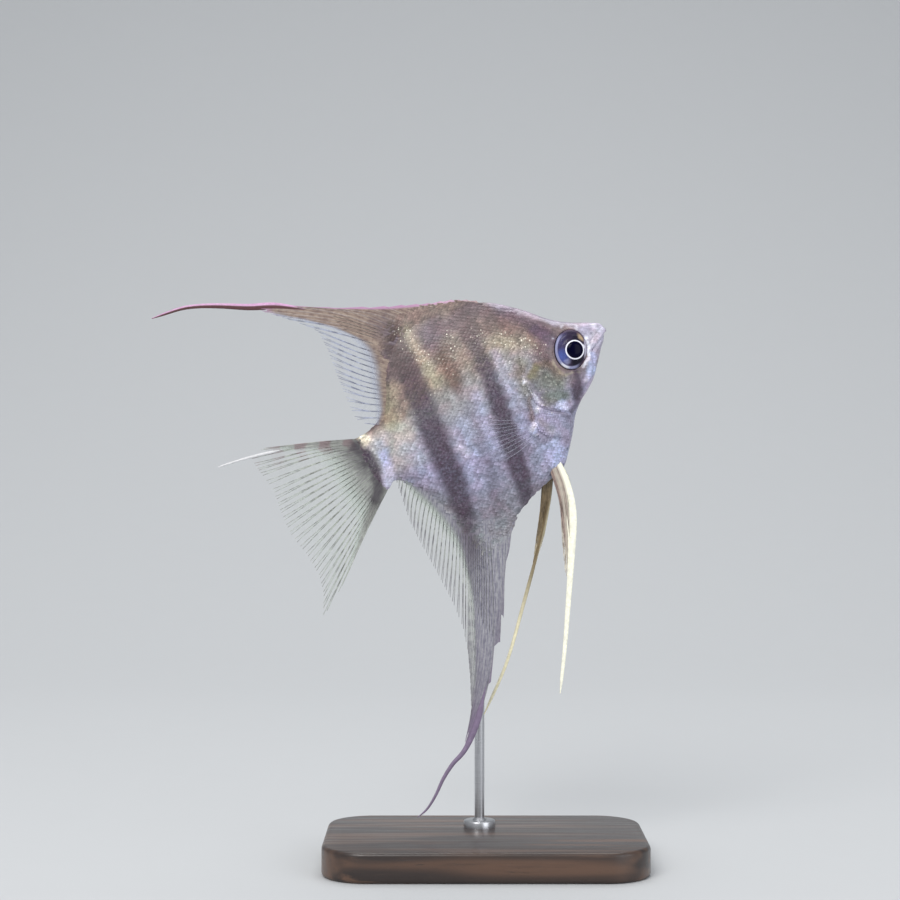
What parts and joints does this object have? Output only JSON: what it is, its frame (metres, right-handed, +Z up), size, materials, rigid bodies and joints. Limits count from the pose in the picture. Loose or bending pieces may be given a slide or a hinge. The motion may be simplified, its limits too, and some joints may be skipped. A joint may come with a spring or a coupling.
{
  "type": "freshwater angelfish",
  "caption": "Still life-size model of a young freshwater angelfish with long trailing fins, nose raised, held by a rod on a small flat base.",
  "frame": {"origin": "centre of the underside of the stand's base", "axes": "+Z up, +X the way the fish swims, -Y the side that its right flank faces; the nose is raised 29.4 degrees above +X"},
  "size_m": [0.0987, 0.04, 0.1127],
  "materials": {
    "skin": "silvery scaled skin with dark upright bars, wet sheen",
    "eye": "clear glossy eye over a blue-black iris with a white ring",
    "fin": "thin see-through fin membrane over pale rays",
    "stand_wood": "dark stained wood, satin",
    "stand_steel": "brushed steel rod"
  },
  "bodies": {
    "root": {"head": "skin", "lower_jaw": "skin", "gill_cover_right": "skin", "gill_cover_left": "skin", "eye_right": "eye", "eye_left": "eye", "trunk": "skin", "tail_stalk": "skin", "dorsal_fin": "fin", "tail_fin": "fin", "anal_fin": "fin", "pelvic_fin_right": "fin", "pelvic_fin_left": "fin", "pectoral_fin_right": "fin", "pectoral_fin_left": "fin", "stand_base": "stand_wood", "stand_rod": "stand_steel"}
  },
  "joints": []
}
